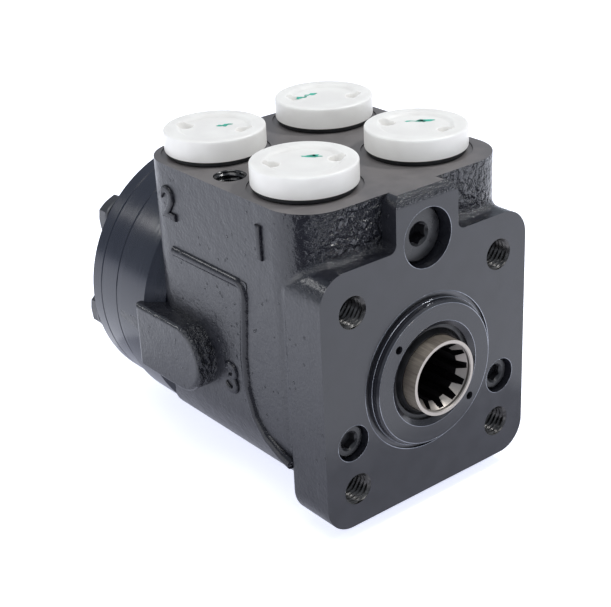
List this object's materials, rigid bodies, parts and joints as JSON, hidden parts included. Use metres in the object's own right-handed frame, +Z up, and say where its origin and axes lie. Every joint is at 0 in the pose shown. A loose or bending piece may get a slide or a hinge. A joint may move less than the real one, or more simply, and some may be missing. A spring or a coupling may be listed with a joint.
{
  "type": "orbital steering unit",
  "caption": "Hydrostatic steering unit: cast housing with square flange, splined input spool, screw ports with transport plugs on top, and a round gerotor stack at the back.",
  "frame": {"origin": "centre of the flange's four bolt holes, on its mounting face and on the shaft axis", "axes": "+Y along the shaft to the back, +Z up to the port face, +X to the right seen from the front"},
  "size_m": [0.0942, 0.1332, 0.1122],
  "materials": {
    "cast_black": "satin black paint over a rough casting",
    "gland_black": "turned, black",
    "stack_black": "satin black paint on turned steel",
    "bolt_steel": "black paint over zinc",
    "plug_black": "black, satin",
    "ring_steel": "phosphated spring steel",
    "ground_steel": "ground",
    "spool_steel": "ground, hardened",
    "spring_steel": "spring steel",
    "rubber_black": "matte",
    "plastic_white": "translucent white, moulded"
  },
  "bodies": {
    "housing": {"housing": "cast_black", "gland_bushing": "gland_black", "retaining_ring": "ring_steel", "dust_seal": "rubber_black", "shaft_seal": "rubber_black", "bushing_o_ring": "rubber_black", "bearing_race_front": "ground_steel", "distributor_plate": "stack_black", "gear_ring": "stack_black", "end_cover": "stack_black", "cover_bolts": "bolt_steel", "ball_stop_bolt": "bolt_steel", "cover_washers": "ring_steel", "housing_o_ring": "rubber_black", "plate_o_ring": "rubber_black", "cover_o_ring": "rubber_black", "relief_plug": "plug_black", "relief_plug_seal": "ring_steel", "relief_spring": "spring_steel", "relief_seat": "ground_steel", "shock_plugs": "plug_black", "shock_spring_left": "spring_steel", "shock_spring_right": "spring_steel", "check_valve_seat": "ground_steel", "suction_pin_left": "ground_steel", "suction_pin_right": "ground_steel"},
    "sleeve": {"sleeve": "ground_steel", "cross_pin": "ground_steel", "centring_springs": "spring_steel", "spring_ring": "ground_steel", "bearing_race_rear": "ground_steel"},
    "spool": {"spool": "spool_steel"},
    "bearing_cage": {"bearing_cage": "ground_steel", "bearing_needles": "ground_steel"},
    "drive_spacer": {"drive_spacer": "ground_steel"},
    "star": {"gerotor_star": "ground_steel"},
    "cardan": {"cardan_shaft": "ground_steel"},
    "relief_poppet": {"relief_poppet": "ground_steel"},
    "shock_ball_left": {"shock_ball_left": "ground_steel"},
    "shock_ball_right": {"shock_ball_right": "ground_steel"},
    "check_ball": {"check_ball": "ground_steel"},
    "suction_ball_left": {"suction_ball_left": "ground_steel"},
    "suction_ball_right": {"suction_ball_right": "ground_steel"},
    "port_seal_1": {"port_seal_1": "rubber_black"},
    "port_plug_1": {"port_plug_1": "plastic_white"},
    "port_seal_2": {"port_seal_2": "rubber_black"},
    "port_plug_2": {"port_plug_2": "plastic_white"},
    "port_seal_3": {"port_seal_3": "rubber_black"},
    "port_plug_3": {"port_plug_3": "plastic_white"},
    "port_seal_4": {"port_seal_4": "rubber_black"},
    "port_plug_4": {"port_plug_4": "plastic_white"}
  },
  "joints": [
    {"name": "sleeve_spin", "type": "hinge", "parent": "housing", "child": "sleeve", "pos_m": [0, 0, 0], "axis": [0, 1, 0], "continuous": true},
    {"name": "spool_twist", "type": "hinge", "parent": "sleeve", "child": "spool", "pos_m": [0, 0, 0], "axis": [0, 1, 0], "range_deg": [-10, 10], "stiffness_Nm_per_rad": 8, "deforming": ["centring_springs"]},
    {"name": "cage_spin", "type": "hinge", "parent": "housing", "child": "bearing_cage", "pos_m": [0, 0.0118, 0], "axis": [0, 1, 0], "continuous": true},
    {"name": "orbit_spin", "type": "hinge", "parent": "housing", "child": "drive_spacer", "pos_m": [0, 0.1131, 0], "axis": [0, 1, 0], "continuous": true},
    {"name": "star_spin", "type": "hinge", "parent": "drive_spacer", "child": "star", "pos_m": [0, 0.1092, 0.0026], "axis": [0, 1, 0], "continuous": true},
    {"name": "cardan_spin", "type": "hinge", "parent": "drive_spacer", "child": "cardan", "pos_m": [0, 0.034, 0], "axis": [0, 0.9994, 0.035], "continuous": true},
    {"name": "relief_lift", "type": "slide", "parent": "housing", "child": "relief_poppet", "axis": [0, -1, 0], "range_m": [0, 0.0015], "stiffness_N_per_m": 2000, "springref_m": -0.002, "deforming": ["relief_spring"]},
    {"name": "shock_lift_left", "type": "slide", "parent": "housing", "child": "shock_ball_left", "axis": [0, -1, 0], "range_m": [0, 0.0012], "stiffness_N_per_m": 1000, "springref_m": -0.002, "deforming": ["shock_spring_left"]},
    {"name": "shock_lift_right", "type": "slide", "parent": "housing", "child": "shock_ball_right", "axis": [0, -1, 0], "range_m": [0, 0.0012], "stiffness_N_per_m": 1000, "springref_m": -0.002, "deforming": ["shock_spring_right"]},
    {"name": "check_ball_lift", "type": "slide", "parent": "housing", "child": "check_ball", "axis": [0, 1, 0], "range_m": [0, 0.0012]},
    {"name": "suction_ball_left_lift", "type": "slide", "parent": "housing", "child": "suction_ball_left", "axis": [0, 1, 0], "range_m": [0, 0.0012]},
    {"name": "suction_ball_right_lift", "type": "slide", "parent": "housing", "child": "suction_ball_right", "axis": [0, 1, 0], "range_m": [0, 0.0012]},
    {"name": "port_seal_1_lift", "type": "slide", "parent": "housing", "child": "port_seal_1", "axis": [0, 0, 1], "range_m": [0, 0.0145]},
    {"name": "port_plug_1_screw", "type": "hinge", "parent": "port_seal_1", "child": "port_plug_1", "pos_m": [-0.02194, 0.02812, 0.058], "axis": [0, 0, 1], "range_deg": [0, 2778.4]},
    {"name": "port_seal_2_lift", "type": "slide", "parent": "housing", "child": "port_seal_2", "axis": [0, 0, 1], "range_m": [0, 0.0145]},
    {"name": "port_plug_2_screw", "type": "hinge", "parent": "port_seal_2", "child": "port_plug_2", "pos_m": [0.02194, 0.02812, 0.058], "axis": [0, 0, 1], "range_deg": [0, 2778.4]},
    {"name": "port_seal_3_lift", "type": "slide", "parent": "housing", "child": "port_seal_3", "axis": [0, 0, 1], "range_m": [0, 0.0145]},
    {"name": "port_plug_3_screw", "type": "hinge", "parent": "port_seal_3", "child": "port_plug_3", "pos_m": [-0.02194, 0.07226, 0.058], "axis": [0, 0, 1], "range_deg": [0, 2778.4]},
    {"name": "port_seal_4_lift", "type": "slide", "parent": "housing", "child": "port_seal_4", "axis": [0, 0, 1], "range_m": [0, 0.0145]},
    {"name": "port_plug_4_screw", "type": "hinge", "parent": "port_seal_4", "child": "port_plug_4", "pos_m": [0.02194, 0.07226, 0.058], "axis": [0, 0, 1], "range_deg": [0, 2778.4]}
  ],
  "couplings": [
    {"joint": "cage_spin", "follows": "sleeve_spin", "ratio": 0.5},
    {"joint": "orbit_spin", "follows": "sleeve_spin", "ratio": -6},
    {"joint": "star_spin", "follows": "sleeve_spin", "ratio": 7},
    {"joint": "cardan_spin", "follows": "sleeve_spin", "ratio": 7},
    {"joint": "port_seal_1_lift", "follows": "port_plug_1_screw", "m_per_rad": 0.00028871},
    {"joint": "port_seal_2_lift", "follows": "port_plug_2_screw", "m_per_rad": 0.00028871},
    {"joint": "port_seal_3_lift", "follows": "port_plug_3_screw", "m_per_rad": 0.00028871},
    {"joint": "port_seal_4_lift", "follows": "port_plug_4_screw", "m_per_rad": 0.00028871}
  ]
}
